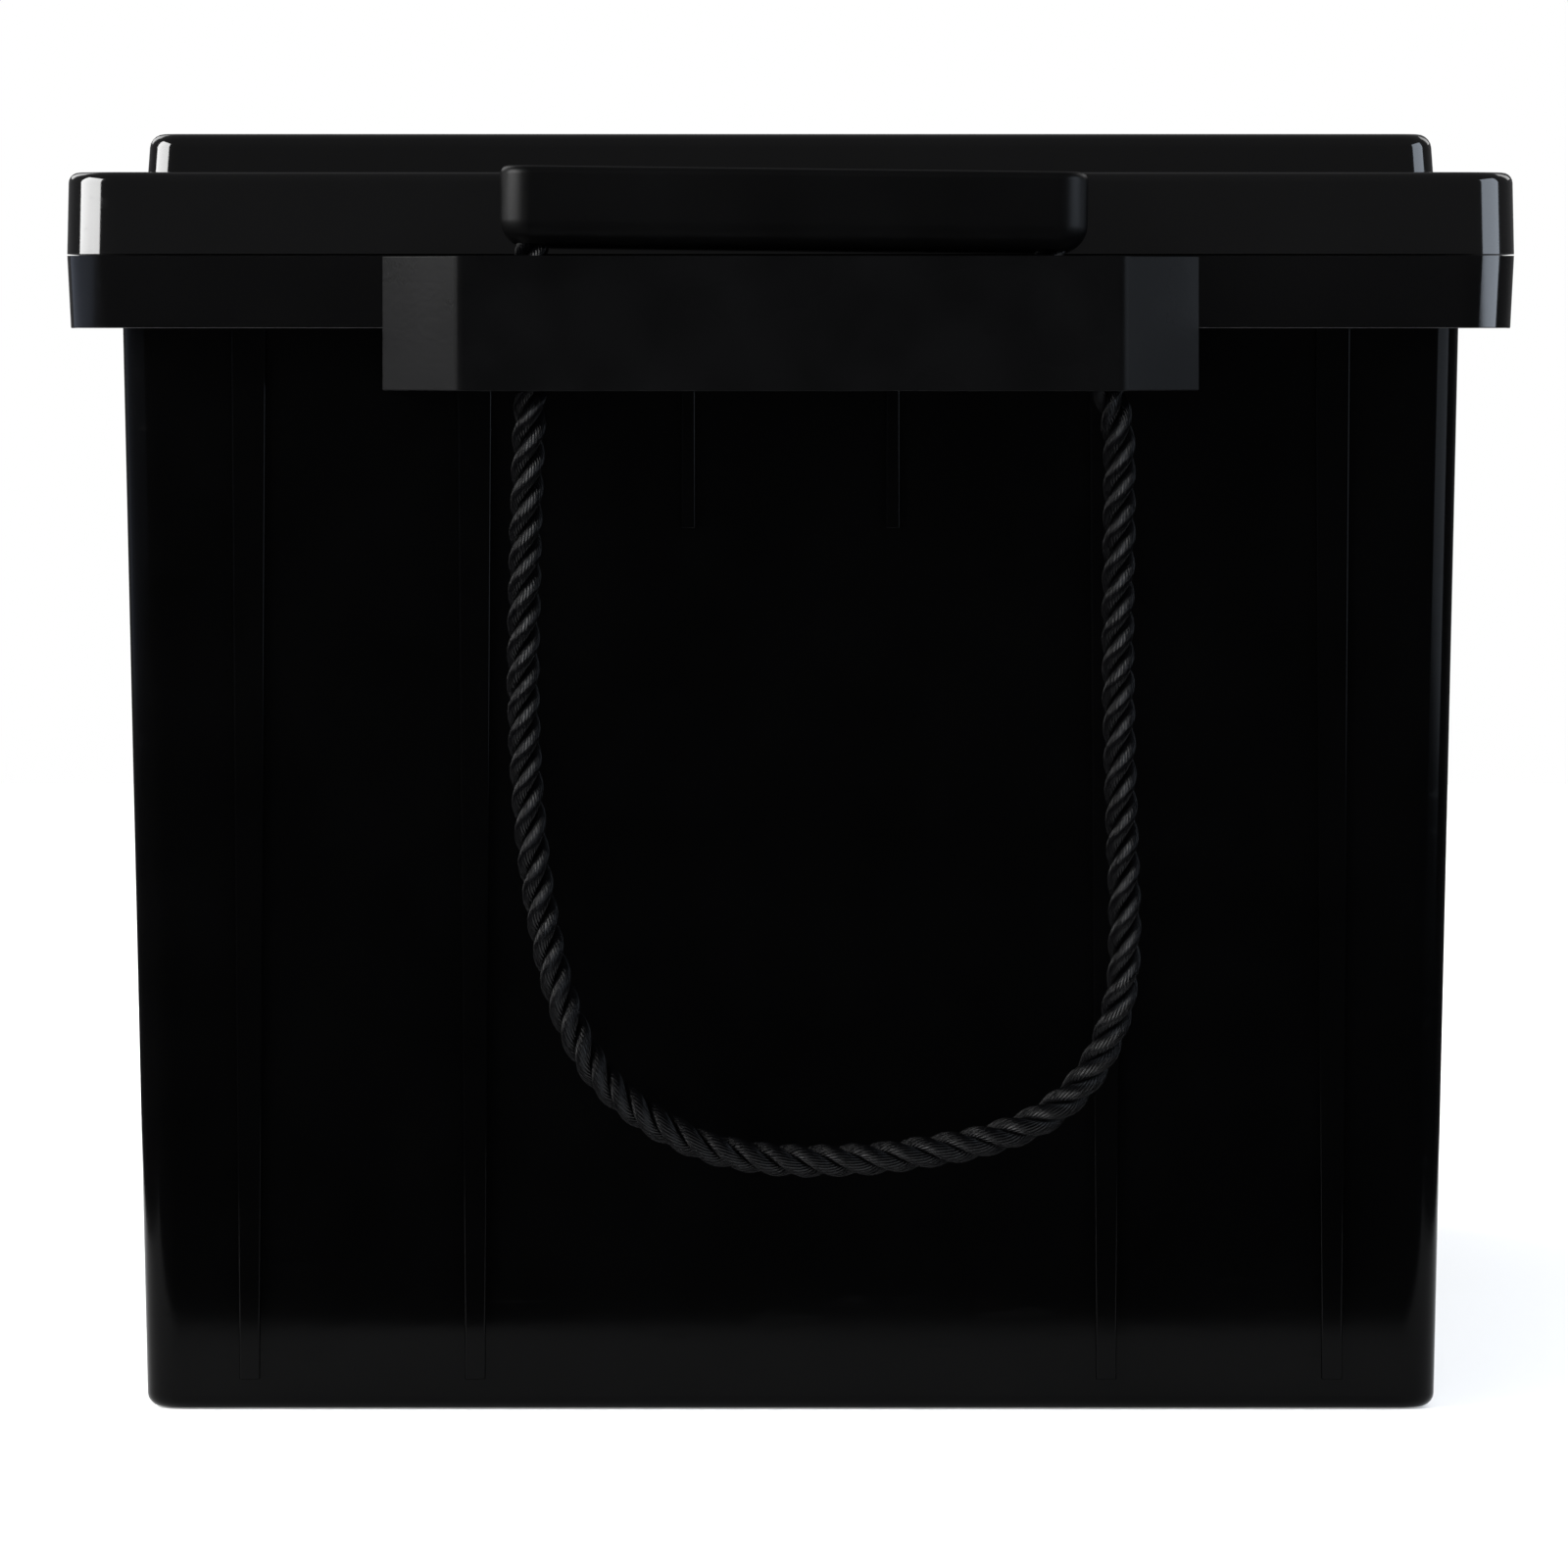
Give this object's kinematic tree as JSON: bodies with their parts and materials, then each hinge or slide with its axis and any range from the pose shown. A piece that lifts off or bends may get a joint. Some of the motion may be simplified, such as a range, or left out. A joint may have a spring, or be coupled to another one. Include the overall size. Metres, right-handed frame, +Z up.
{
  "type": "deep-cycle battery",
  "caption": "Large sealed lead-acid battery in a black ribbed case with a bonded lid, recessed bolt terminals, valve vents and a rope-and-grip handle at each end.",
  "frame": {"origin": "middle of the flat bottom of the case", "axes": "+X across the width (to the right in the pictured end view), +Y along the length away from the pictured end, +Z up"},
  "size_m": [0.283, 0.527, 0.25],
  "materials": {
    "case_plastic": "moulded black, smooth and glossy",
    "lid_plastic": "moulded black, smooth and glossy",
    "grip_plastic": "moulded black, fine satin grain",
    "rope_fibre": "black three-strand laid rope, fibrous",
    "lead": "cast lead alloy, dull grey",
    "positive_paste": "cured dark brown paste on a lead grid",
    "negative_paste": "cured grey paste on a lead grid",
    "glass_mat": "white absorbent glass mat",
    "bolt_steel": "plain stainless steel",
    "brass": "plain brass",
    "seal_rubber": "matt black rubber",
    "filter_felt": "pressed porous felt"
  },
  "bodies": {
    "case": {"container": "case_plastic", "lid": "lid_plastic", "positive_plates_1": "positive_paste", "negative_plates_1": "negative_paste", "separator_1": "glass_mat", "positive_plates_2": "positive_paste", "negative_plates_2": "negative_paste", "separator_2": "glass_mat", "positive_plates_3": "positive_paste", "negative_plates_3": "negative_paste", "separator_3": "glass_mat", "positive_plates_4": "positive_paste", "negative_plates_4": "negative_paste", "separator_4": "glass_mat", "positive_plates_5": "positive_paste", "negative_plates_5": "negative_paste", "separator_5": "glass_mat", "positive_plates_6": "positive_paste", "negative_plates_6": "negative_paste", "separator_6": "glass_mat", "intercell_weld_1": "lead", "intercell_weld_2": "lead", "intercell_weld_3": "lead", "intercell_weld_4": "lead", "intercell_weld_5": "lead", "terminal_post_positive": "lead", "terminal_seal_positive": "seal_rubber", "terminal_washer_positive": "brass", "terminal_bolt_positive": "bolt_steel", "terminal_post_negative": "lead", "terminal_seal_negative": "seal_rubber", "terminal_washer_negative": "brass", "terminal_bolt_negative": "bolt_steel", "valve_cap_1": "seal_rubber", "valve_cap_2": "seal_rubber", "valve_cap_3": "seal_rubber", "valve_cap_4": "seal_rubber", "valve_cap_5": "seal_rubber", "valve_cap_6": "seal_rubber", "vent_cover_left": "lid_plastic", "vent_filter_left": "filter_felt", "vent_cover_right": "lid_plastic", "vent_filter_right": "filter_felt"},
    "handle_front": {"grip_front": "grip_plastic", "rope_front": "rope_fibre"},
    "handle_rear": {"grip_rear": "grip_plastic", "rope_rear": "rope_fibre"}
  },
  "joints": [
    {"name": "handle_front_lift", "type": "slide", "parent": "case", "child": "handle_front", "axis": [0, 0, 1], "range_m": [0, 0.085]},
    {"name": "handle_rear_lift", "type": "slide", "parent": "case", "child": "handle_rear", "axis": [0, 0, 1], "range_m": [0, 0.085]}
  ]
}
